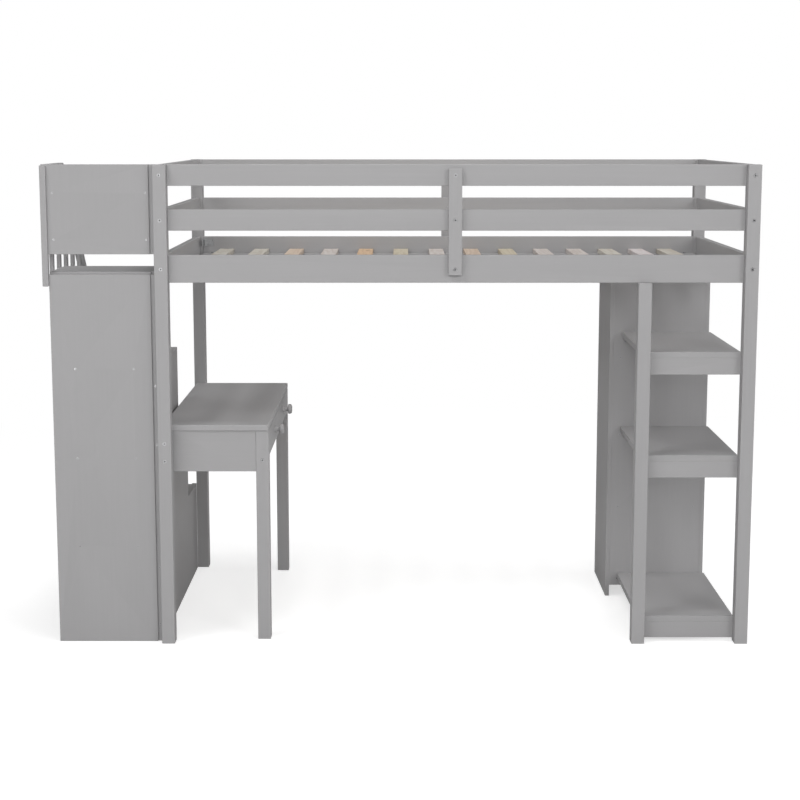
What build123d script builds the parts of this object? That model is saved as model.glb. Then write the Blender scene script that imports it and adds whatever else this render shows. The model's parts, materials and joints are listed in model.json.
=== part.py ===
from build123d import *
import os
from math import sqrt

# Loft bed with desk, storage stair, front shelves and a bookcase.
# Millimetres. +X runs along the bed, away from the stair. +Y runs across the bed, from the long
# side with the tall stair board to the other one. +Z is up. The origin is on the floor, under the
# middle of the whole piece.

# ---- driving dimensions: bed -------------------------------------------------------------------
bed_length = 1994.0
bed_depth = 1092.0
bed_height = 1619.0
post_x = 44.0
post_y = 50.0
rail_t = 22.0
rail_h = 92.0
rail_z = 1230.0
guard_h = 70.0
guard_levels = (1402.0, 1549.0)
upright_t = 20.0
upright_z = (1256.0, 1605.0)
ledger_t = 22.0
ledger_h = 24.0
slat_count = 14
slat_w = 56.0
slat_t = 18.0
first_slat = 137.0
slat_pitch = 135.2
close_slats = 4
close_step = 6.0
upright_shift = -4.0
bracket_leg = 40.0
bracket_h = 24.0
bracket_t = 2.0
ease = 2.0

# ---- driving dimensions: stair -----------------------------------------------------------------
panel_t = 17.0
stair_clear = 319.0
stile_t = 20.0
stile_set = 6.0
riser_t = 16.0
corner_w = 38.0
stair_front = 30.0
back_t = 16.0
tread_tops = (344.0, 648.0, 952.0)
landing_top = 1265.0
landing_t = 25.0
back_panel_top = 1257.0
stile_low = 1218.0
tread_t = 22.0
first_riser = 280.0
going = 242.0
nosing = 20.0
guard_panel_z = 1324.0
batten = 22.0
edge_board_h = 50.0
landing_edge_h = 57.0
bar_drop = 64.0
newel_w = 36.0
handrail_h = 50.0
handrail_start = 335.0
baluster_t = 12.0
baluster_w = 26.0
baluster_start = 105.0
baluster_count = 7
panel_screw_u = (79.0, 275.0)
guard_screw_u = (28.0, 334.0)
guard_screw_z = (1372.0, 1526.0)
side_screw_y = 411.0
stile_screw_z = (61.0, 258.0, 683.0, 882.0)

# ---- driving dimensions: desk ------------------------------------------------------------------
desk_height = 747.0
desk_top_t = 20.0
desk_width = 358.0
desk_gap = 9.0
leg = 44.0
apron_t = 18.0
apron_h = 140.0
desk_rail_low = 600.0
leg_bolt_z = 626.0
desk_bolt_z = (632.0, 692.0)
block = 22.0
overhang = 4.0
face_h = 88.0
face_t = 18.0
box_t = 12.0
box_h = 70.0
box_length = 290.0
slide_gap = 12.0
slide_length = 270.0
slide_h = 35.0
slide_t = 1.5
slide_lip = 10.0
knob_r = 18.5
knob_t = 15.0
knob_reach = 34.0
knob_foot_r = 13.0
knob_neck_r = 8.5

# ---- driving dimensions: shelves and bookcase --------------------------------------------------
shelf_tops = (89.0, 647.0, 998.0)
shelf_t = 20.0
fascia_h = 56.0
fascia_t = 18.0
fascia_set = 34.0
unit_width = 395.0
shelf_inset = 26.0
case_reach = 413.0
case_front = 616.0
case_depth = 358.0
case_width = 364.0
case_height = 1205.0
case_t = 15.0
case_back_t = 9.0
case_kick = 42.0
case_levels = (67.0, 344.0, 617.0, 904.0)

# ---- driving dimensions: fasteners -------------------------------------------------------------
bolt_r = 3.0
head_r = 6.0
head_t = 4.0
post_bolt = 90.0
nut_r = 5.0
nut_skin = 6.0
screw_r = 1.6
screw_head_r = 3.6

# ---- places worked out from them ---------------------------------------------------------------
stair_width = panel_t + stair_clear + panel_t + stile_t
x0 = -(bed_length + stair_width) / 2 + stair_width
x1 = x0 + bed_length
y0 = -bed_depth / 2
y1 = bed_depth / 2
upright_x = (x0 + x1) / 2 + upright_shift
risers_y = [y0 + first_riser + going * n for n in range(4)]
tread_u = panel_t + stair_clear + panel_t
landing_low = landing_top - landing_t
stile_y = y0 + stair_front + stile_set
guard_start = y0 + 42
newel_y = risers_y[3] + nosing - newel_w
desk_x0 = x0 + desk_gap
desk_x1 = desk_x0 + desk_width
desk_y0 = y0 + post_y + 2
desk_y1 = y1 - post_y - 2
leg_y0 = desk_y0 + overhang
leg_y1 = desk_y1 - overhang
under_top = desk_height - desk_top_t
case_x0 = x1 - case_reach
case_y0 = y0 + case_front


def board(x, y, z, r=0.0):
    """A square-cornered board between pairs of limits, with its edges eased by radius r."""
    size = (x[1] - x[0], y[1] - y[0], z[1] - z[0])
    solid = Box(*size)
    if r:
        solid = fillet(solid.edges(), r)
    return Pos((x[0] + x[1]) / 2, (y[0] + y[1]) / 2, (z[0] + z[1]) / 2) * solid


def out(u):
    """X of a point that lies u outwards from the bed's left face, over the stair."""
    return x0 - u


def into(point, direction, solid):
    """Place a solid, drawn with +Z as its inward axis, at a point on a face."""
    return Plane(origin=point, z_dir=direction) * solid


inward = (Align.CENTER, Align.CENTER, Align.MIN)


def socket_bolt(length):
    """A bolt with a flat round head flush with the face and a six-sided socket."""
    head = Cylinder(head_r, head_t, align=inward)
    shank = Cylinder(bolt_r, length, align=inward)
    socket = extrude(RegularPolygon(2.6, 6), head_t * 0.6)
    return head + shank - socket


def bolt_hole(length):
    """The counterbore and clearance hole that a bolt sits in."""
    mouth = Cylinder(head_r + 0.4, head_t, align=inward)
    shaft = Cylinder(bolt_r + 0.2, length + 1, align=inward)
    return mouth + shaft


def barrel_nut(height, radius):
    """A cross dowel, standing across the bolt."""
    return Cylinder(radius, height)


def cross_screw(length):
    """A countersunk screw whose head lies flush with the face."""
    head = Cone(screw_head_r, screw_r, screw_head_r - screw_r, align=inward)
    shank = Cylinder(screw_r, length, align=inward)
    slot = Box(4.2, 0.9, 2.0) + Box(0.9, 4.2, 2.0)
    return head + shank - slot


def screw_hole(length):
    """The countersink and pilot hole of a screw."""
    mouth = Cone(screw_head_r, screw_r, screw_head_r - screw_r, align=inward)
    return mouth + Cylinder(screw_r, length, align=inward)


# ---- where the fasteners go --------------------------------------------------------------------
rail_mids = [rail_z + rail_h / 2] + [z + guard_h / 2 for z in guard_levels]


def end_bolt_sites():
    """Bolts along Y, through each post into the end rails."""
    sites = []
    for x in (x0 + post_x / 2, x1 - post_x / 2):
        for z in rail_mids:
            sites.append(((x, y0, z), (0, 1, 0)))
            sites.append(((x, y1, z), (0, -1, 0)))
    return sites


def side_bolt_sites():
    """Bolts along X, through each post into the side rails, clear of the end bolts."""
    sites = []
    for y in (y0 + post_y - rail_t / 2, y1 - post_y + rail_t / 2):
        for z in rail_mids:
            sites.append(((x0, y, z - 19), (1, 0, 0)))
            sites.append(((x1, y, z - 19), (-1, 0, 0)))
    return sites


def desk_bolt_sites():
    """Two bolts along Y through each left-hand post into the desk's side rail."""
    sites = []
    for z in desk_bolt_z:
        sites.append(((x0 + post_x / 2, y0, z), (0, 1, 0)))
        sites.append(((x0 + post_x / 2, y1, z), (0, -1, 0)))
    return sites


def upright_bolt_sites():
    """Bolts along Y, through the centre uprights into the three rails."""
    sites = []
    for z in rail_mids:
        sites.append(((upright_x, y0 + post_y - rail_t - upright_t, z), (0, 1, 0)))
        sites.append(((upright_x, y1 - post_y + rail_t + upright_t, z), (0, -1, 0)))
    return sites


def leg_bolt_sites():
    """One bolt along Y through each desk leg into the corner block behind it."""
    x = desk_x1 - leg / 2
    return [((x, leg_y0, leg_bolt_z), (0, 1, 0)), ((x, leg_y1, leg_bolt_z), (0, -1, 0))]


def holes(sites, length):
    """All the cutting tools for one list of bolts."""
    return [into(point, way, bolt_hole(length)) for point, way in sites]


def nut_place(site):
    """The place of the cross dowel that a post bolt ends in."""
    point, way = site
    reach = post_bolt - 12
    return tuple(p + reach * w for p, w in zip(point, way))


def end_nut_tools(sites, height):
    """Cross dowels along X for the end rails, let in from their inner faces."""
    tools = []
    for site in sites:
        x, y, z = nut_place(site)
        shift = nut_skin / 2 if x < upright_x else -nut_skin / 2
        tools.append(Pos(x + shift, y, z) * Rot(0, 90, 0) * barrel_nut(height, nut_r))
    return tools


def side_nut_tools(sites, height):
    """Cross dowels along Y for the side rails, let in from their inner faces."""
    tools = []
    for site in sites:
        x, y, z = nut_place(site)
        shift = nut_skin / 2 if y < 0 else -nut_skin / 2
        tools.append(Pos(x, y + shift, z) * Rot(90, 0, 0) * barrel_nut(height, nut_r))
    return tools


def cut(solid, tools):
    """Take away only the tools that reach the solid."""
    reach = solid.bounding_box()
    for tool in tools:
        box = tool.bounding_box()
        apart = (box.min.X > reach.max.X or box.max.X < reach.min.X or box.min.Y > reach.max.Y
                 or box.max.Y < reach.min.Y or box.min.Z > reach.max.Z or box.max.Z < reach.min.Z)
        if not apart:
            solid = solid - tool
    return solid


post_tools = holes(end_bolt_sites() + side_bolt_sites() + desk_bolt_sites(), post_bolt)
nut_holes = end_nut_tools(end_bolt_sites() + desk_bolt_sites(), rail_t - nut_skin)
nut_holes += side_nut_tools(side_bolt_sites(), rail_t - nut_skin)
upright_bolt = upright_t + rail_t
upright_tools = holes(upright_bolt_sites(), upright_bolt)


# ---- bed frame ---------------------------------------------------------------------------------
def bed_post(right, rear):
    """One of the four full-height posts."""
    x = (x1 - post_x, x1) if right else (x0, x0 + post_x)
    y = (y1 - post_y, y1) if rear else (y0, y0 + post_y)
    return cut(board(x, y, (0, bed_height), ease), post_tools)


def long_rail(rear, z, height):
    """A rail along the bed, between the posts and flush with their inner faces."""
    y = (y1 - post_y, y1 - post_y + rail_t) if rear else (y0 + post_y - rail_t, y0 + post_y)
    solid = board((x0 + post_x, x1 - post_x), y, (z, z + height), ease)
    return cut(solid, post_tools + nut_holes + upright_tools)


def cross_rail(right, z, height):
    """A rail across one end of the bed, on the middle of the posts."""
    middle = x1 - post_x / 2 if right else x0 + post_x / 2
    x = (middle - rail_t / 2, middle + rail_t / 2)
    solid = board(x, (y0 + post_y, y1 - post_y), (z, z + height), ease)
    return cut(solid, post_tools + nut_holes)


def long_guards(rear):
    """The upper and lower guard rails of one long side."""
    return [long_rail(rear, z, guard_h) for z in guard_levels]


def cross_guards(right):
    """The upper and lower guard rails of one end."""
    return [cross_rail(right, z, guard_h) for z in guard_levels]


def centre_upright(rear):
    """The upright bolted outside the rails, near the middle of a long side."""
    outer = y1 - post_y + rail_t if rear else y0 + post_y - rail_t - upright_t
    x = (upright_x - post_x / 2, upright_x + post_x / 2)
    solid = board(x, (outer, outer + upright_t), upright_z, ease)
    return cut(solid, upright_tools)


def slat_ledgers():
    """The strips that the slats rest on, screwed inside the side rails."""
    x = (x0 + post_x, x1 - post_x)
    z = (rail_z + 3, rail_z + 3 + ledger_h)
    front = board(x, (y0 + post_y, y0 + post_y + ledger_t), z, 1.0)
    rear = board(x, (y1 - post_y - ledger_t, y1 - post_y), z, 1.0)
    return [cut(part, slat_screw_holes) for part in (front, rear)]


slat_z = rail_z + 3 + ledger_h


def slat_places():
    """The middle of each slat along the bed; the last few close up towards the shelves."""
    places = [x0 + first_slat]
    for n in range(1, slat_count):
        late = max(0, n - (slat_count - 1 - close_slats))
        places.append(places[-1] + slat_pitch - close_step * late)
    return places


slat_xs = slat_places()
slat_screw_sites = [((x, y, slat_z + slat_t), (0, 0, -1)) for x in slat_xs
                    for y in (y0 + post_y + ledger_t / 2, y1 - post_y - ledger_t / 2)]
slat_screw_holes = [into(point, way, screw_hole(32)) for point, way in slat_screw_sites]


def bed_slats():
    """The bare pine slats, on the ledgers of the two side rails."""
    y = (y0 + post_y + 2, y1 - post_y - 2)
    slats = [board((x - slat_w / 2, x + slat_w / 2), y, (slat_z, slat_z + slat_t), 1.5) for x in slat_xs]
    return [cut(slat, slat_screw_holes) for slat in slats]


def corner_brackets():
    """Steel angle plates inside the two corners at the stair end, above the ledgers."""
    brackets = []
    x = x0 + post_x
    z = (rail_z + 56, rail_z + 56 + bracket_h)
    for corner, way in ((y0 + post_y, 1), (y1 - post_y, -1)):
        long = board((x, x + bracket_leg), sorted((corner, corner + bracket_t * way)), z)
        short = board((x, x + bracket_t), sorted((corner, corner + bracket_leg * way)), z)
        brackets.append(long + short)
    return brackets


# ---- stair -------------------------------------------------------------------------------------
panel_screw_sites = [((out(u), y0 + stair_front, top - tread_t / 2), (0, 1, 0))
                     for top in tread_tops for u in panel_screw_u]
guard_screw_sites = [((out(u), y0 + stair_front, z), (0, 1, 0))
                     for u in guard_screw_u for z in guard_screw_z]
side_screw_sites = [((x0, y0 + side_screw_y, top - tread_t / 2), (-1, 0, 0)) for top in tread_tops]
stile_screw_sites = [((out(panel_t / 2), stile_y, z), (0, 1, 0)) for z in stile_screw_z]
stair_screw_sites = panel_screw_sites + guard_screw_sites + side_screw_sites + stile_screw_sites
stair_screw_holes = [into(point, way, screw_hole(32)) for point, way in stair_screw_sites]


def stair_back_panel():
    """The tall closed board that faces the long side."""
    solid = board((out(tread_u), out(panel_t)), (y0 + stair_front, y0 + stair_front + back_t),
                  (0, back_panel_top), 1.0)
    return cut(solid, stair_screw_holes)


def joining_stiles():
    """The narrow stiles between the stair and the front bed post, below and above the landing's gap."""
    x = (out(panel_t), out(0))
    y = (stile_y, stile_y + stile_t)
    lengths = ((0, back_panel_top), (guard_panel_z, bed_height))
    return [cut(board(x, y, z, 1.0), stair_screw_holes) for z in lengths]


def stair_side_panel():
    """The stepped board between the stair and the bed posts; its lowest step reaches the rear post."""
    near = stile_y + stile_t
    fronts = [y + nosing for y in risers_y[:3]] + [y1 - post_y]
    points = [(near, 0), (near, landing_top), (fronts[0], landing_top)]
    for level, top in enumerate(tread_tops[::-1]):
        points.append((fronts[level], top))
        points.append((fronts[level + 1], top))
    points.append((fronts[3], 0))
    face = Plane.YZ * make_face(Polyline(*points, close=True))
    solid = extrude(face, panel_t)
    solid = Pos(out(panel_t), 0, 0) * fillet(solid.edges(), 1.0)
    return cut(solid, stair_screw_holes)


def landing():
    """The top platform."""
    y = (y0 + stair_front + back_t, risers_y[0] + nosing)
    return board((out(tread_u), out(panel_t)), y, (landing_low, landing_top), 2.0)


def stair_treads():
    """Each tread runs back to the tall board and is the shelf of the space behind it too."""
    boards = []
    for level, top in enumerate(tread_tops):
        front_edge = risers_y[3 - level] + nosing
        y = (y0 + stair_front + back_t, front_edge)
        solid = board((out(tread_u), out(panel_t)), y, (top - tread_t, top), 2.0)
        boards.append(cut(solid, stair_screw_holes))
    return boards


def stair_risers():
    """The boards under each nosing, and the divider that stands below the middle one."""
    floors = [0.0] + list(tread_tops)
    ceilings = [top - tread_t for top in tread_tops] + [landing_low]
    x = (out(tread_u), out(panel_t))
    boards = []
    for level in range(4):
        y = risers_y[3 - level]
        boards.append(board(x, (y - riser_t, y), (floors[level], ceilings[level]), 1.0))
    for level in range(2):
        y = risers_y[1]
        boards.append(board(x, (y - riser_t, y), (floors[level], ceilings[level]), 1.0))
    return boards


def stair_edge_boards():
    """Boards that stiffen the open side under the landing and the bare part of each tread."""
    x = (out(tread_u), out(panel_t + stair_clear))
    y = (y0 + stair_front + back_t, risers_y[0] - riser_t)
    boards = [board(x, y, (landing_low - landing_edge_h, landing_low), 1.0)]
    for level, top in enumerate(tread_tops):
        y = (risers_y[2 - level], risers_y[3 - level] - riser_t)
        boards.append(board(x, y, (top - tread_t - edge_board_h, top - tread_t), 1.0))
    return boards


def stair_corner_post():
    """The outer corner of the stair, in lengths that stand between the shelves."""
    floors = [0.0] + list(tread_tops)
    ceilings = [top - tread_t for top in tread_tops] + [landing_low - landing_edge_h]
    y = (y0 + stair_front + back_t, y0 + stair_front + back_t + corner_w)
    x = (out(tread_u), out(panel_t + stair_clear))
    return [board(x, y, (low, high), 1.0) for low, high in zip(floors, ceilings)]


def landing_guard_panel():
    """The closed board above the landing, on the long side."""
    solid = board((out(tread_u), out(panel_t)), (y0 + stair_front, y0 + stair_front + back_t),
                  (guard_panel_z, bed_height), 1.0)
    return cut(solid, stair_screw_holes)


def guard_battens():
    """Upright battens behind the guard board's two ends, which its screws go into."""
    near = y0 + stair_front + back_t
    y = (near, near + batten)
    z = (guard_panel_z, bed_height - 8)
    outer_ends = (panel_t + batten, tread_u - 8)
    battens = [board((out(u), out(u - batten)), y, z, 1.0) for u in outer_ends]
    return [cut(part, stair_screw_holes) for part in battens]


def guard_stiles():
    """The short stile at the front of the outer guard and the newel at its foot."""
    x = (out(tread_u + stile_t), out(tread_u))
    stile = board(x, (y0 + 20, guard_start), (stile_low, bed_height - 3), ease)
    newel = board(x, (newel_y, newel_y + newel_w), (0, handrail_top(newel_y) + 6), ease)
    return [stile, newel]


def handrail_top(y):
    """Height of the handrail's upper edge: level over the landing, then 45 degrees down."""
    start = y0 + handrail_start
    return bed_height if y < start else bed_height - (y - start)


def landing_top_rail():
    """The level part of the outer guard's rail."""
    x = (out(tread_u + stile_t), out(tread_u))
    y = (guard_start, y0 + handrail_start)
    return board(x, y, (bed_height - handrail_h, bed_height), ease)


def handrail():
    """The sloping part of the outer guard's rail, down to the newel."""
    drop = handrail_h * sqrt(2)
    start = y0 + handrail_start
    foot = handrail_top(newel_y)
    points = [(start, bed_height), (newel_y, foot), (newel_y, foot - drop), (start, bed_height - drop)]
    face = Plane.YZ * make_face(Polyline(*points, close=True))
    solid = extrude(face, stile_t)
    solid = fillet(solid.edges().filter_by(Axis((0, 0, 0), (0, 1, -1))), ease)
    return Pos(out(tread_u + stile_t), 0, 0) * solid


def balusters():
    """Flat balusters, one for each half step, from outside the edge of a tread up to the rail."""
    bars = []
    feet = [landing_top] + list(tread_tops)[::-1]
    x = (out(tread_u + baluster_t), out(tread_u))
    for n in range(baluster_count):
        near = y0 + baluster_start + going / 2 * n
        z = (feet[n // 2] - bar_drop, bed_height - 1)
        bars.append(board(x, (near, near + baluster_w), z, 1.0) - rail_band())
    return bars


def rail_band():
    """Everything above the underside of the outer guard's rail, for trimming the balusters."""
    drop = handrail_h * sqrt(2)
    start = y0 + handrail_start
    above = bed_height + 99
    points = [(y0, above), (newel_y, above), (newel_y, handrail_top(newel_y) - drop),
              (start, bed_height - drop), (start, bed_height - handrail_h), (y0, bed_height - handrail_h)]
    face = Plane.YZ * make_face(Polyline(*points, close=True))
    return Pos(out(tread_u + 50), 0, 0) * extrude(face, 100)


# ---- desk --------------------------------------------------------------------------------------
leg_tools = holes(leg_bolt_sites(), leg + 20)
bay = (leg_y0 + leg, leg_y1 - leg)
divider_y = (bay[0] + bay[1]) / 2
face_x = (desk_x1 - face_t, desk_x1)
back_x = x0 + post_x / 2 + rail_t / 2


def desk_top():
    """The desk's top board, between the left-hand bed posts."""
    return board((desk_x0, desk_x1), (desk_y0, desk_y1), (under_top, desk_height), 3.0)


def desk_aprons():
    """The two boards across the desk's ends."""
    z = (desk_height - desk_top_t - apron_h, under_top)
    x = (back_x, desk_x1 - leg)
    near = board(x, (leg_y0 + 2, leg_y0 + 2 + apron_t), z, 1.0)
    far = board(x, (leg_y1 - 2 - apron_t, leg_y1 - 2), z, 1.0)
    return [near, far]


def desk_side_rail():
    """The rail under the desk's inner edge, bolted between the left-hand bed posts."""
    solid = board((back_x - rail_t, back_x), (y0 + post_y, y1 - post_y), (desk_rail_low, under_top), 1.0)
    return cut(solid, post_tools + nut_holes)


def desk_legs():
    """The two legs at the desk's open side."""
    x = (desk_x1 - leg, desk_x1)
    near = board(x, (leg_y0, leg_y0 + leg), (0, under_top), ease)
    far = board(x, (leg_y1 - leg, leg_y1), (0, under_top), ease)
    return [cut(part, leg_tools) for part in (near, far)]


def desk_divider():
    """The board between the two drawers."""
    x = (back_x, face_x[0] - 3)
    y = (divider_y - apron_t / 2, divider_y + apron_t / 2)
    return board(x, y, (under_top - face_h + 4, under_top), 1.0)


def runner_blocks():
    """Packing strips that bring the outer runners level with the legs."""
    x = (back_x + 2, desk_x1 - leg)
    z = (under_top - 66, under_top - 22)
    near = board(x, (leg_y0 + 2 + apron_t, bay[0]), z, 1.0)
    far = board(x, (bay[1], leg_y1 - 2 - apron_t), z, 1.0)
    return [near, far]


def corner_blocks():
    """Blocks behind the legs that take the leg bolts."""
    x = (desk_x1 - leg - 16, desk_x1 - 10)
    z = (desk_rail_low, under_top - face_h - 2)
    near = board(x, (bay[0], bay[0] + block), z, 1.0)
    far = board(x, (bay[1] - block, bay[1]), z, 1.0)
    return [cut(part, leg_tools) for part in (near, far)]


slide_mid = under_top - 44
slide_x = (face_x[0] - 4 - slide_length, face_x[0] - 4)


def fixed_channel(wall, side):
    """Half of a drawer runner, a channel fixed to a wall; side is +1 if it opens towards +Y."""
    low = slide_mid - slide_h / 2
    high = slide_mid + slide_h / 2
    lip = sorted((wall, wall + slide_lip * side))
    web = board(slide_x, sorted((wall, wall + slide_t * side)), (low, high))
    return web + board(slide_x, lip, (low, low + slide_t)) + board(slide_x, lip, (high - slide_t, high))


def moving_channel(wall, side):
    """The other half, a smaller channel fixed to the drawer and nested in the first."""
    x = (slide_x[0], slide_x[1] - 2)
    face = wall + slide_gap * side
    low = slide_mid - slide_h * 0.4
    high = slide_mid + slide_h * 0.4
    lip = sorted((face, wall + 2 * slide_t * side))
    web = board(x, sorted((face, face - slide_t * side)), (low, high))
    return web + board(x, lip, (low, low + slide_t)) + board(x, lip, (high - slide_t, high))


def drawer_walls(right):
    """The two walls beside one drawer, with the side that each runner faces."""
    if right:
        return ((divider_y + apron_t / 2, 1), (bay[1], -1))
    return ((bay[0], 1), (divider_y - apron_t / 2, -1))


def fixed_runners():
    """The four fixed halves of the drawer runners."""
    return [fixed_channel(wall, side) for right in (False, True) for wall, side in drawer_walls(right)]


def drawer_runners(right):
    """The two moving halves on one drawer."""
    return [moving_channel(wall, side) for wall, side in drawer_walls(right)]


def drawer_limits(right):
    """Outer limits of one drawer box across the desk."""
    walls = drawer_walls(right)
    return (walls[0][0] + slide_gap, walls[1][0] - slide_gap)


def drawer_face(right):
    """One drawer's painted front board."""
    y = (divider_y + 1, bay[1] - 2) if right else (bay[0] + 2, divider_y - 1)
    solid = board(face_x, y, (under_top - face_h - 1.5, under_top - 1.5), ease)
    return cut(solid, [knob_hole(right)])


def knob_spot(right):
    """Where a knob meets the middle of its drawer front."""
    y = (divider_y + 1 + bay[1] - 2) / 2 if right else (bay[0] + 2 + divider_y - 1) / 2
    return (desk_x1, y, under_top - face_h / 2 + 4)


def knob_hole(right):
    """The hole for a knob's screw."""
    return into(knob_spot(right), (-1, 0, 0), Cylinder(2.0, 60))


def drawer_box(right):
    """One drawer's sides and back."""
    y = drawer_limits(right)
    x = (face_x[0] - box_length, face_x[0])
    z = (under_top - 80, under_top - 80 + box_h)
    near = board(x, (y[0], y[0] + box_t), z, 1.0)
    far = board(x, (y[1] - box_t, y[1]), z, 1.0)
    back = board((x[0], x[0] + box_t), (y[0] + box_t, y[1] - box_t), z, 1.0)
    return [near, far, back]


def drawer_bottom(right):
    """One drawer's thin bottom, between its sides."""
    y = drawer_limits(right)
    z = (under_top - 76, under_top - 71)
    return board((face_x[0] - box_length + box_t, face_x[0]), (y[0] + box_t, y[1] - box_t), z)


def drawer_knob(right):
    """A turned knob: a flared foot, a neck, a domed disc, and the screw that holds it."""
    foot = Cone(knob_foot_r, knob_neck_r, 9.0, align=inward)
    neck = Cylinder(knob_neck_r, knob_reach - 5.0, align=inward)
    disc = Pos(0, 0, knob_reach - knob_t) * Cylinder(knob_r, knob_t, align=inward)
    disc = fillet(disc.edges().filter_by(GeomType.CIRCLE).sort_by(Axis.Z)[0], 4.0)
    disc = fillet(disc.edges().filter_by(GeomType.CIRCLE).sort_by(Axis.Z)[-1], 8.0)
    screw = Cylinder(1.9, face_t, align=(Align.CENTER, Align.CENTER, Align.MAX))
    return into(knob_spot(right), (1, 0, 0), foot + neck + disc + screw)


# ---- front shelves -----------------------------------------------------------------------------
post_x0 = x1 - unit_width
shelf_x = (post_x0 + shelf_inset, x1 - post_x)


def shelf_post():
    """The short post under the side rail that carries the shelves' left side."""
    return board((post_x0, post_x0 + post_x), (y0, y0 + post_y), (0, rail_z), ease)


def front_shelves():
    """Three shelves, notched round the post, from the fascias back to the bookcase."""
    boards = []
    for top in shelf_tops:
        z = (top - shelf_t, top)
        solid = board(shelf_x, (y0 + fascia_set, case_y0), z)
        solid = solid - board((shelf_x[0] - 1, post_x0 + post_x), (y0, y0 + post_y), (z[0] - 1, z[1] + 1))
        boards.append(fillet(solid.edges(), 1.0))
    return boards


def shelf_fascias():
    """The board under the front edge of each shelf, between the two posts."""
    x = (post_x0 + post_x, x1 - post_x)
    y = (y0 + fascia_set, y0 + fascia_set + fascia_t)
    return [board(x, y, (top - shelf_t - fascia_h, top - shelf_t), 1.0) for top in shelf_tops]


def shelf_cleats():
    """The strip under the back edge of each shelf."""
    x = (shelf_x[0] + 8, shelf_x[1] - 8)
    y = (case_y0 - 20, case_y0)
    return [board(x, y, (top - shelf_t - 20, top - shelf_t), 1.0) for top in shelf_tops]


# ---- bookcase ----------------------------------------------------------------------------------
case_x = (case_x0, case_x0 + case_width)
case_inner = (case_x0 + case_t, case_x0 + case_width - case_t)
case_screw_sites = [((x, case_y0, z), (0, 1, 0)) for x in (case_inner[0] + 27, case_inner[1] - 27)
                    for z in case_levels]
case_screw_holes = [into(point, way, screw_hole(32)) for point, way in case_screw_sites]


def bookcase_back():
    """The back board, which faces the front shelves."""
    solid = board(case_inner, (case_y0, case_y0 + case_back_t), (case_kick, case_height), 1.0)
    return cut(solid, case_screw_holes)


def bookcase_sides():
    """The two full-height sides, standing on the floor."""
    y = (case_y0, case_y0 + case_depth)
    left = board((case_x[0], case_inner[0]), y, (0, case_height), 1.0)
    right = board((case_inner[1], case_x[1]), y, (0, case_height), 1.0)
    return [left, right]


def bookcase_shelves():
    """Four shelves and the top."""
    y = (case_y0 + case_back_t, case_y0 + case_depth - 4)
    middles = list(case_levels) + [case_height - case_t / 2]
    boards = [board(case_inner, y, (z - case_t / 2, z + case_t / 2), 1.0) for z in middles]
    return [cut(part, case_screw_holes) for part in boards]


# ---- fasteners ---------------------------------------------------------------------------------
def frame_bolts():
    """The post bolts of the bed and the desk rail."""
    sites = end_bolt_sites() + side_bolt_sites() + desk_bolt_sites()
    return [into(point, way, socket_bolt(post_bolt)) for point, way in sites]


def upright_bolts():
    """The bolts of the centre uprights and the desk legs."""
    bolts = [into(point, way, socket_bolt(upright_bolt)) for point, way in upright_bolt_sites()]
    bolts += [into(point, way, socket_bolt(leg + 18)) for point, way in leg_bolt_sites()]
    return bolts


def barrel_nuts():
    """The cross dowels that the post bolts screw into."""
    sites = end_bolt_sites() + side_bolt_sites() + desk_bolt_sites()
    nuts = end_nut_tools(end_bolt_sites() + desk_bolt_sites(), rail_t - nut_skin - 1)
    nuts += side_nut_tools(side_bolt_sites(), rail_t - nut_skin - 1)
    shanks = [into(point, way, Cylinder(bolt_r, post_bolt, align=inward))
              for point, way in sites]
    return [cut(nut, shanks) for nut in nuts]


def wood_screws():
    """The screws in the stair, the bookcase and the slats."""
    sites = stair_screw_sites + case_screw_sites + slat_screw_sites
    return [into(point, way, cross_screw(31)) for point, way in sites]


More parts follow.
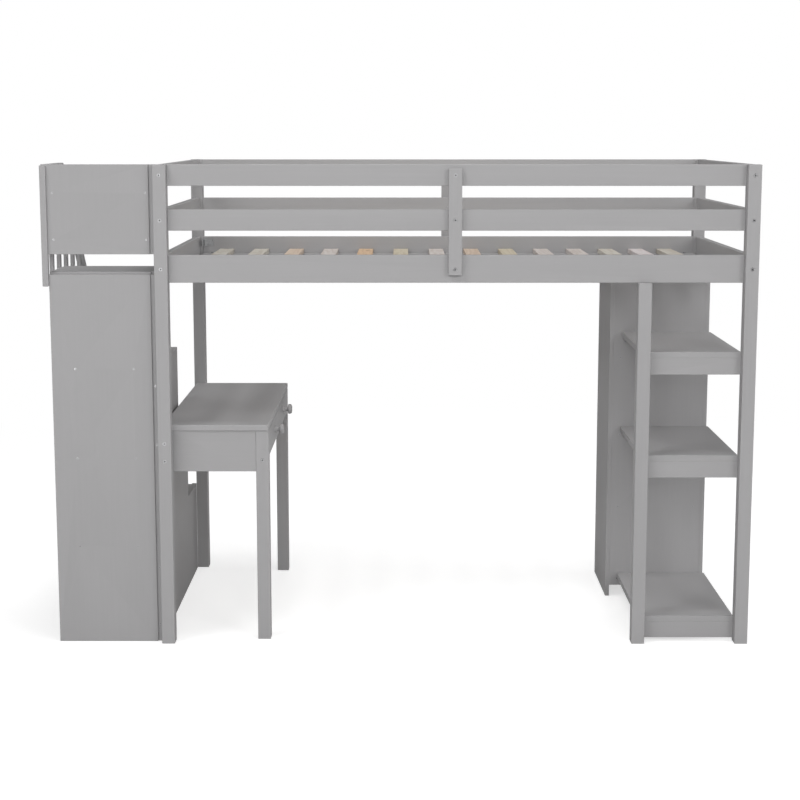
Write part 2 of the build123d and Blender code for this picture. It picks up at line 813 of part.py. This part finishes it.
parts = {
    "post_front_left": bed_post(False, False),
    "post_front_right": bed_post(True, False),
    "post_rear_left": bed_post(False, True),
    "post_rear_right": bed_post(True, True),
    "side_rail_front": long_rail(False, rail_z, rail_h),
    "side_rail_rear": long_rail(True, rail_z, rail_h),
    "end_rail_left": cross_rail(False, rail_z, rail_h),
    "end_rail_right": cross_rail(True, rail_z, rail_h),
    "guard_rails_front": long_guards(False),
    "guard_rails_rear": long_guards(True),
    "guard_rails_left": cross_guards(False),
    "guard_rails_right": cross_guards(True),
    "centre_upright_front": centre_upright(False),
    "centre_upright_rear": centre_upright(True),
    "slat_ledgers": slat_ledgers(),
    "bed_slats": bed_slats(),
    "corner_brackets": corner_brackets(),
    "stair_back_panel": stair_back_panel(),
    "stair_side_panel": stair_side_panel(),
    "joining_stiles": joining_stiles(),
    "stair_treads": stair_treads(),
    "landing": landing(),
    "stair_risers": stair_risers(),
    "stair_edge_boards": stair_edge_boards(),
    "stair_corner_post": stair_corner_post(),
    "landing_guard_panel": landing_guard_panel(),
    "guard_battens": guard_battens(),
    "guard_stiles": guard_stiles(),
    "landing_top_rail": landing_top_rail(),
    "handrail": handrail(),
    "balusters": balusters(),
    "desk_top": desk_top(),
    "desk_aprons": desk_aprons(),
    "desk_side_rail": desk_side_rail(),
    "desk_legs": desk_legs(),
    "desk_divider": desk_divider(),
    "runner_blocks": runner_blocks(),
    "corner_blocks": corner_blocks(),
    "fixed_runners": fixed_runners(),
    "left_drawer_face": drawer_face(False),
    "left_drawer_box": drawer_box(False),
    "left_drawer_bottom": drawer_bottom(False),
    "left_drawer_knob": drawer_knob(False),
    "left_drawer_runners": drawer_runners(False),
    "right_drawer_face": drawer_face(True),
    "right_drawer_box": drawer_box(True),
    "right_drawer_bottom": drawer_bottom(True),
    "right_drawer_knob": drawer_knob(True),
    "right_drawer_runners": drawer_runners(True),
    "shelf_post": shelf_post(),
    "front_shelves": front_shelves(),
    "shelf_fascias": shelf_fascias(),
    "shelf_cleats": shelf_cleats(),
    "bookcase_back": bookcase_back(),
    "bookcase_sides": bookcase_sides(),
    "bookcase_shelves": bookcase_shelves(),
    "frame_bolts": frame_bolts(),
    "upright_bolts": upright_bolts(),
    "barrel_nuts": barrel_nuts(),
    "wood_screws": wood_screws(),
}

os.makedirs("parts", exist_ok=True)
for name, part in parts.items():
    shape = Compound(children=part) if isinstance(part, list) else part
    export_step(shape, "parts/" + name + ".step")
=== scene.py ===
import bpy
import json
from math import cos, radians, sin
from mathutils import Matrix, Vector

# Loft bed with desk, storage stair, shelves and bookcase: camera, light and materials round the
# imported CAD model. Metres, in the CAD frame: +X along the bed, +Y away from the camera, +Z up.

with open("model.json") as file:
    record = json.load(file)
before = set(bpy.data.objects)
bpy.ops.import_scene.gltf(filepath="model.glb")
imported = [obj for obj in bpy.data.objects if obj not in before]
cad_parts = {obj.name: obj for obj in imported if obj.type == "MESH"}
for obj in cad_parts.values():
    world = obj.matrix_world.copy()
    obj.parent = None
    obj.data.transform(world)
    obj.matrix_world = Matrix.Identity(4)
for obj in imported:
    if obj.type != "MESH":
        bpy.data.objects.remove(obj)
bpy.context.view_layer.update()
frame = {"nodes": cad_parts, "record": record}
nodes = frame["nodes"]
scene = bpy.context.scene

# ---- camera ------------------------------------------------------------------------------------
# The turns are in degrees, and the lens and its sensor in millimetres.
camera_place = (0.0075, -6.2061, 1.7262)
camera_down = 8.886
camera_left = 0.072
camera_lens = 77.34
camera_sensor = 36.0
camera_reach = 100.0

lens = bpy.data.cameras.new("camera")
lens.lens = camera_lens
lens.sensor_width = camera_sensor
lens.clip_end = camera_reach
camera = bpy.data.objects.new("camera", lens)
camera.location = camera_place
camera.rotation_euler = (radians(90 - camera_down), 0, radians(camera_left))
scene.collection.objects.link(camera)
scene.camera = camera


# ---- shader building ---------------------------------------------------------------------------
def add(tree, kind, inputs=None, **settings):
    """A shader node; an input is a plain value, or the socket that it is linked from."""
    fresh = tree.nodes.new("ShaderNode" + kind)
    for name, value in settings.items():
        setattr(fresh, name, value)
    for name, value in (inputs or {}).items():
        if isinstance(value, bpy.types.NodeSocket):
            tree.links.new(value, fresh.inputs[name])
        else:
            fresh.inputs[name].default_value = value
    return fresh


def maths(tree, operation, first, second=0.0):
    """One Math node on numbers or sockets; an operation on one number leaves the second out."""
    return add(tree, "Math", {0: first, 1: second}, operation=operation).outputs[0]


def mixed(tree, factor, first, second, blend="MIX"):
    """A blend of two colours, each given as (r, g, b) or as a socket."""
    colours = [value if isinstance(value, bpy.types.NodeSocket) else (*value, 1)
               for value in (first, second)]
    # A Mix node has a pair of inputs for each kind of data; its colours are inputs 6 and 7.
    inputs = {0: factor, 6: colours[0], 7: colours[1]}
    return add(tree, "Mix", inputs, data_type="RGBA", blend_type=blend).outputs[2]


def ranged(tree, value, low, high, to_low=0.0, to_high=1.0):
    """A number spread from one range onto another, and held at its ends."""
    inputs = {"Value": value, "From Min": low, "From Max": high, "To Min": to_low, "To Max": to_high}
    return add(tree, "MapRange", inputs).outputs["Result"]


def shader(name, **sockets):
    """A material whose plain shader sockets are set here; returns it, its tree and its shader."""
    material = bpy.data.materials.new(name)
    material.use_nodes = True
    tree = material.node_tree
    base = tree.nodes["Principled BSDF"]
    for key, value in sockets.items():
        base.inputs[key.replace("_", " ")].default_value = value
    return material, tree, base


def drive(tree, base, colour, roughness, normal):
    """Links the three things that a finish varies from place to place to its shader."""
    tree.links.new(colour, base.inputs["Base Color"])
    tree.links.new(roughness, base.inputs["Roughness"])
    tree.links.new(normal, base.inputs["Normal"])


# ---- light and stage ---------------------------------------------------------------------------
scene.view_settings.view_transform = "Standard"
pure_white = (1, 1, 1, 1)
light_target = Vector((0, 0, 0.8))
# Each softbox: degrees round the object (0 is the camera's side, 90 is +X), degrees up, metres
# from the target, side in metres, and watts.
softboxes = {
    "front_softbox": (0, 20, 7.0, 2.5, 94),
    "right_softbox": (35, 20, 7.0, 2.5, 98),
    "left_softbox": (-45, 45, 7.0, 2.5, 116),
    "top_softbox": (0, 85, 6.0, 2.5, 150),
    "back_softbox": (180, 15, 7.0, 2.5, 80),
    "side_softbox": (80, 15, 7.0, 2.5, 72),
    "near_right_softbox": (97, 10, 4.1, 1.5, 42),
    "near_left_softbox": (-24, 0, 4.4, 1.5, 16),
}
# This one stands low behind the object, where its reflection brightens faces seen at a low angle.
unreflected_softbox = "back_softbox"
# The surround's strength as a light; the camera sees it at 1.
sky_light = 0.18
# The seen floor turns pure white between these two distances from the origin.
floor_white_from = 2.0
floor_white_to = 4.5
floor_radius = 30.0
floor_paper_grey = 0.6
floor_glow = 0.62
floor_roughness = 0.9
bounce_grey = 0.58
bounce_drop = 0.002


def studio_world():
    """A white surround; it lights the object more softly than it looks behind it."""
    world = bpy.data.worlds.new("studio")
    world.use_nodes = True
    tree = world.node_tree
    tree.nodes.clear()
    seen = add(tree, "LightPath").outputs["Is Camera Ray"]
    strength = maths(tree, "MAXIMUM", seen, sky_light)
    surround = add(tree, "Background", {"Color": pure_white, "Strength": strength})
    add(tree, "OutputWorld", {"Surface": surround.outputs[0]})
    scene.world = world


def softbox(name, azimuth, elevation, distance, size, power):
    """A square area light that faces the target."""
    data = bpy.data.lights.new(name, "AREA")
    data.size = size
    data.energy = power
    lamp = bpy.data.objects.new(name, data)
    turn = radians(azimuth)
    rise = radians(elevation)
    way = Vector((sin(turn) * cos(rise), -cos(turn) * cos(rise), sin(rise)))
    lamp.location = light_target + distance * way
    lamp.rotation_euler = (-way).to_track_quat("-Z", "Y").to_euler()
    lamp.visible_camera = False
    lamp.visible_glossy = name != unreflected_softbox
    scene.collection.objects.link(lamp)


def floor_plane(name, height, material):
    """A wide square plane that is part of the stage."""
    mesh = bpy.data.meshes.new(name)
    r = floor_radius
    corners = [(-r, -r, height), (r, -r, height), (r, r, height), (-r, r, height)]
    mesh.from_pydata(corners, [], [(0, 1, 2, 3)])
    plane = bpy.data.objects.new(name, mesh)
    scene.collection.objects.link(plane)
    mesh.materials.append(material)
    return plane


def grey(level):
    """A neutral colour with its alpha."""
    return (level, level, level, 1)


def floor_paper():
    """White paper with soft contact shadows, which fades to pure white away from the object."""
    material, tree, base = shader("floor_paper", Roughness=floor_roughness,
                                  Base_Color=grey(floor_paper_grey),
                                  Emission_Color=pure_white, Emission_Strength=floor_glow)
    glow = add(tree, "Emission", {"Color": pure_white, "Strength": 1.0})
    place = add(tree, "TexCoord").outputs["Object"]
    reach = add(tree, "VectorMath", {0: place}, operation="LENGTH").outputs["Value"]
    far = ranged(tree, reach, floor_white_from, floor_white_to)
    mix = add(tree, "MixShader", {0: far, 1: base.outputs[0], 2: glow.outputs[0]})
    tree.links.new(mix.outputs[0], tree.nodes["Material Output"].inputs["Surface"])
    return material


def studio_floor():
    """One plane that the camera sees, and one just below it that throws light back up."""
    seen = floor_plane("floor_seen", 0.0, floor_paper())
    seen.visible_diffuse = False
    seen.visible_glossy = False
    seen.visible_shadow = False
    bounce_paper = shader("floor_bounce", Roughness=floor_roughness, Base_Color=grey(bounce_grey))[0]
    bounce = floor_plane("floor_bounce", -bounce_drop, bounce_paper)
    bounce.visible_camera = False


studio_world()
for name, setting in softboxes.items():
    softbox(name, *setting)
studio_floor()

# ---- patterns ----------------------------------------------------------------------------------
# Parts of a noise's range, which are spread out over a whole effect.
wide_span = (0.2, 0.8)
middle_span = (0.25, 0.75)
narrow_span = (0.3, 0.7)
# Rays that a Bevel or Ambient Occlusion node sends out.
node_samples = 6
# How well the rounded and the true normal match where an edge's wear starts, and where it is full.
edge_match = (0.98, 0.80)


def stretched(tree, axis, cycles, shift=None):
    """Object coordinates in cycles per metre, given along the grain's axis and across it."""
    along, across = cycles
    place = add(tree, "TexCoord").outputs["Object"]
    scale = [along if letter == axis else across for letter in "xyz"]
    mapped = add(tree, "Mapping", {"Vector": place, "Scale": scale}).outputs["Vector"]
    if shift is None:
        return mapped
    return add(tree, "VectorMath", {0: mapped, 1: shift}, operation="ADD").outputs["Vector"]


def noise(tree, axis, pattern, shift=None):
    """A noise texture's number, about 0.5 on average, from one of the patterns named below."""
    along, across, detail, roughness = pattern
    inputs = {"Vector": stretched(tree, axis, (along, across), shift), "Scale": 1.0,
              "Detail": detail, "Roughness": roughness}
    return add(tree, "TexNoise", inputs).outputs["Fac"]


def board_shift(tree, amount):
    """A shift of the pattern that is different on each board."""
    island = add(tree, "NewGeometry").outputs["Random Per Island"]
    return maths(tree, "MULTIPLY", island, amount)


def edge_mask(tree, radius):
    """1 on an edge within about radius of a face's end, 0 on open faces."""
    rounded = add(tree, "Bevel", {"Radius": radius}, samples=node_samples).outputs["Normal"]
    true_normal = add(tree, "NewGeometry").outputs["True Normal"]
    match = add(tree, "VectorMath", {0: rounded, 1: true_normal}, operation="DOT_PRODUCT")
    return ranged(tree, match.outputs["Value"], *edge_match)


def relief(tree, layers):
    """Bump nodes one on another: each layer is a height socket and its depth in metres."""
    normal = None
    for height, depth in layers:
        inputs = {"Height": height, "Distance": depth, "Strength": 1.0}
        if normal is not None:
            inputs["Normal"] = normal
        normal = add(tree, "Bump", inputs).outputs["Normal"]
    return normal


def darker(colour, share):
    """A colour brought down to a share of its light."""
    return [share * part for part in colour]


# ---- grey paint --------------------------------------------------------------------------------
# Each noise pattern here and below: cycles per metre along the grain and across it, its detail
# and its roughness.
paint_grain = (3.0, 130.0, 5.0, 0.62)
paint_cloud = (1.4, 4.0, 3.0, 0.5)
paint_peel = (620.0, 620.0, 1.0, 0.5)
paint_scuffs = (9.0, 22.0, 6.0, 0.7)
paint_shift = 40.0
paint_ior = 1.48
paint = (0.379, 0.374, 0.379)
paint_worn = (0.50, 0.485, 0.465)
paint_grime = (0.22, 0.215, 0.21)
grain_tone = 0.018
cloud_tone = 0.028
rub_width = 0.0022
rub_span = (0.40, 0.66)
rub_amount = (0.08, 0.55)
grime_span = (0.62, 0.80)
grime_amount = 0.10
paint_roughness = (0.40, 0.50)
grain_roughness = 0.03
rubbed_roughness = 0.12
peel_depth = 0.00003
solid_grain_depth = 0.00012
panel_grain_depth = 0.00004


def grey_paint(name, axis, grain_depth):
    """Satin grey paint: faint grain shows through it, and it is thin and rubbed on the edges."""
    material, tree, base = shader(name, IOR=paint_ior)
    shift = board_shift(tree, paint_shift)
    grain = noise(tree, axis, paint_grain, shift)
    cloud = noise(tree, axis, paint_cloud, shift)
    peel = noise(tree, axis, paint_peel)
    scuffs = noise(tree, axis, paint_scuffs, shift)

    grain_light = ranged(tree, grain, *middle_span, -grain_tone, grain_tone)
    cloud_light = ranged(tree, cloud, *middle_span, -cloud_tone, cloud_tone)
    light = maths(tree, "ADD", maths(tree, "ADD", grain_light, cloud_light), 1.0)
    tinted = add(tree, "VectorMath", {0: paint, "Scale": light}, operation="SCALE").outputs["Vector"]
    rubbing = ranged(tree, scuffs, *rub_span, *rub_amount)
    rubbed = maths(tree, "MULTIPLY", edge_mask(tree, rub_width), rubbing)
    grime = maths(tree, "MULTIPLY", ranged(tree, scuffs, *grime_span), grime_amount)
    colour = mixed(tree, grime, mixed(tree, rubbed, tinted, paint_worn), paint_grime)

    cloud_rough = ranged(tree, cloud, *wide_span, *paint_roughness)
    grain_rough = ranged(tree, grain, *narrow_span, -grain_roughness, grain_roughness)
    rubbed_rough = maths(tree, "MULTIPLY", rubbed, rubbed_roughness)
    rough = maths(tree, "ADD", maths(tree, "ADD", cloud_rough, grain_rough), rubbed_rough)
    drive(tree, base, colour, rough, relief(tree, [(grain, grain_depth), (peel, peel_depth)]))
    return material


# ---- bare pine ---------------------------------------------------------------------------------
pine_warp = (0.9, 9.0, 2.0, 0.5)
pine_pores = (12.0, 700.0, 2.0, 0.7)
pine_shift = 23.0
pine_ior = 1.5
pine = (0.62, 0.50, 0.36)
pine_late = (0.46, 0.31, 0.18)
pine_knot = (0.16, 0.075, 0.03)
ring_waves = 75.0
ring_span = (-0.2, 1.0)
ring_amount = 0.20
ring_depth = 0.00008
pore_span = (0.52, 0.75)
pore_amount = 0.16
pore_depth = 0.00012
knot_cycles = (2.6, 11.0)
knot_span = (0.16, 0.07)
knot_amount = 0.55
pine_roughness = (0.52, 0.68)
slat_tints = {
    "cream": (0.58, 0.55, 0.49),
    "tan": (0.62, 0.50, 0.40),
    "pinkish": (0.61, 0.56, 0.53),
    "orange": (0.66, 0.47, 0.31),
    "straw": (0.58, 0.52, 0.40),
    "pale": (0.67, 0.62, 0.62),
}
# The slats' tints from the stair's end of the bed to the shelves' end.
slat_order = ("cream", "cream", "tan", "pinkish", "orange", "straw", "pinkish",
              "tan", "straw", "pinkish", "pinkish", "cream", "pale", "cream")
# Neighbouring corners further apart than this are on two slats: it is more than any step between
# the corners and screw holes of one slat, and less than the space between two slats.
slat_gap = 0.03
# How far the slats' colour ramp runs past the middles of the end slats.
ramp_margin = 0.03


def strip_middles(name, axis):
    """The middle of each separate board in a node, in order along one axis."""
    places = sorted({round(vertex.co[axis], 4) for vertex in nodes[name].data.vertices})
    groups = [[places[0]]]
    for place in places[1:]:
        if place - groups[-1][-1] > slat_gap:
            groups.append([])
        groups[-1].append(place)
    return [(group[0] + group[-1]) / 2 for group in groups]


def slat_colour(tree):
    """A colour ramp along the bed with one flat step for each slat."""
    middles = strip_middles("bed_slats", 0)
    low = middles[0] - ramp_margin
    high = middles[-1] + ramp_margin
    place = add(tree, "TexCoord").outputs["Object"]
    along = add(tree, "SeparateXYZ", {0: place}).outputs["X"]
    ramp = add(tree, "ValToRGB", {"Fac": ranged(tree, along, low, high)})
    steps = ramp.color_ramp
    steps.interpolation = "CONSTANT"
    for number, (middle, tint) in enumerate(zip(middles, slat_order)):
        start = 0.0 if number == 0 else ((middle + middles[number - 1]) / 2 - low) / (high - low)
        stop = steps.elements[0] if number == 0 else steps.elements.new(start)
        stop.color = (*slat_tints[tint], 1)
    # A new ramp also has a stop at its end, which carries on the last slat's step.
    steps.elements[-1].color = (*slat_tints[slat_order[-1]], 1)
    return ramp.outputs["Color"]


def plain_pine(tree):
    """One even pine colour, a little different on each board."""
    return mixed(tree, board_shift(tree, 1.0), pine, slat_tints["tan"])


def bare_pine(name, axis, colour_of):
    """Planed pine: growth rings stretched along the board, fine pores, and a few knots."""
    material, tree, base = shader(name, IOR=pine_ior)
    shift = board_shift(tree, pine_shift)
    warp = noise(tree, axis, pine_warp, shift)
    waves = maths(tree, "SINE", maths(tree, "MULTIPLY", warp, ring_waves))
    rings = ranged(tree, waves, *ring_span)
    pores = noise(tree, axis, pine_pores, shift)
    cells = add(tree, "TexVoronoi", {"Vector": stretched(tree, axis, knot_cycles, shift), "Scale": 1.0})
    knots = ranged(tree, cells.outputs["Distance"], *knot_span)

    ground = colour_of(tree)
    late_wood = mixed(tree, 1.0, ground, pine_late, "MULTIPLY")
    ringed = mixed(tree, maths(tree, "MULTIPLY", rings, ring_amount), ground, late_wood)
    pored = mixed(tree, ranged(tree, pores, *pore_span, 0.0, pore_amount), ringed, pine_late)
    colour = mixed(tree, maths(tree, "MULTIPLY", knots, knot_amount), pored, pine_knot)
    rough = ranged(tree, pores, *narrow_span, *pine_roughness)
    drive(tree, base, colour, rough, relief(tree, [(rings, ring_depth), (pores, pore_depth)]))
    return material


# ---- plated steel ------------------------------------------------------------------------------
steel_brush = (40.0, 1800.0, 2.0, 0.5)
steel_stain = (60.0, 60.0, 4.0, 0.65)
steel_colours = {"zinc_steel": (0.62, 0.63, 0.64), "bolt_steel": (0.50, 0.50, 0.51)}
stain_span = (0.4, 0.7)
stain_amount = 0.35
stain_share = 0.7
# Painted shade: an Ambient Occlusion node darkens the steel in its recesses, down to a share of its
# colour.
recess_shade_reach = 0.006
recess_shade_span = (0.45, 0.95)
recess_shade_share = 0.08
steel_roughness = (0.24, 0.40)
scratch_depth = 0.000005


def steel(name, axis, colour):
    """Plated steel with a fine brushed grain, and painted shade that darkens it in its recesses."""
    material, tree, base = shader(name, Metallic=1.0)
    brush = noise(tree, axis, steel_brush)
    stain = noise(tree, axis, steel_stain)
    # Painted shade: the colour falls to a small share of itself where the Ambient Occlusion node finds
    # a recess.
    shade = add(tree, "AmbientOcclusion", {"Distance": recess_shade_reach}, samples=node_samples).outputs["AO"]
    stained = ranged(tree, stain, *stain_span, 0.0, stain_amount)
    tinted = mixed(tree, stained, colour, darker(colour, stain_share))
    unshaded = ranged(tree, shade, *recess_shade_span)
    seen = mixed(tree, unshaded, darker(colour, recess_shade_share), tinted)
    rough = ranged(tree, brush, *narrow_span, *steel_roughness)
    drive(tree, base, seen, rough, relief(tree, [(brush, scratch_depth)]))
    return material


# ---- finishes ----------------------------------------------------------------------------------
# The grain runs along z in the nodes that aren't listed.
grain_axis = {
    "x": ("side_rail_front", "side_rail_rear", "guard_rails_front", "guard_rails_rear", "slat_ledgers",
          "stair_treads", "landing", "stair_risers", "shelf_fascias", "shelf_cleats", "desk_aprons",
          "runner_blocks", "corner_blocks", "bookcase_shelves", "fixed_runners", "left_drawer_runners",
          "right_drawer_runners", "left_drawer_box", "right_drawer_box"),
    "y": ("end_rail_left", "end_rail_right", "guard_rails_left", "guard_rails_right", "bed_slats",
          "landing_top_rail", "handrail", "desk_top", "desk_side_rail", "front_shelves",
          "stair_edge_boards", "left_drawer_face", "right_drawer_face", "left_drawer_bottom",
          "right_drawer_bottom"),
}
# Broad smooth boards, whose paint hides more of the grain.
panel_nodes = ("stair_back_panel", "stair_side_panel", "landing_guard_panel", "bookcase_back")
axis_of = {name: axis for axis, names in grain_axis.items() for name in names}
slot_of = {part["node"]: part["material_slot"] for part in frame["record"]["subparts"]}


def finish_of(name):
    """The function that makes a CAD node's material, and what it is made with."""
    slot = slot_of[name]
    axis = axis_of.get(name, "z")
    title = slot + "_" + axis
    if name == "bed_slats":
        return bare_pine, ("bed_slat_pine", axis, slat_colour)
    if slot in ("bare_pine", "drawer_birch"):
        return bare_pine, (title, axis, plain_pine)
    if slot in steel_colours:
        return steel, (title, axis, steel_colours[slot])
    if name in panel_nodes:
        return grey_paint, (title + "_panel", axis, panel_grain_depth)
    return grey_paint, (title, axis, solid_grain_depth)


# Nodes with the same finish share one material.
finished = {}
for name, node in nodes.items():
    finish = finish_of(name)
    if finish not in finished:
        make, details = finish
        finished[finish] = make(*details)
    node.data.materials.clear()
    node.data.materials.append(finished[finish])
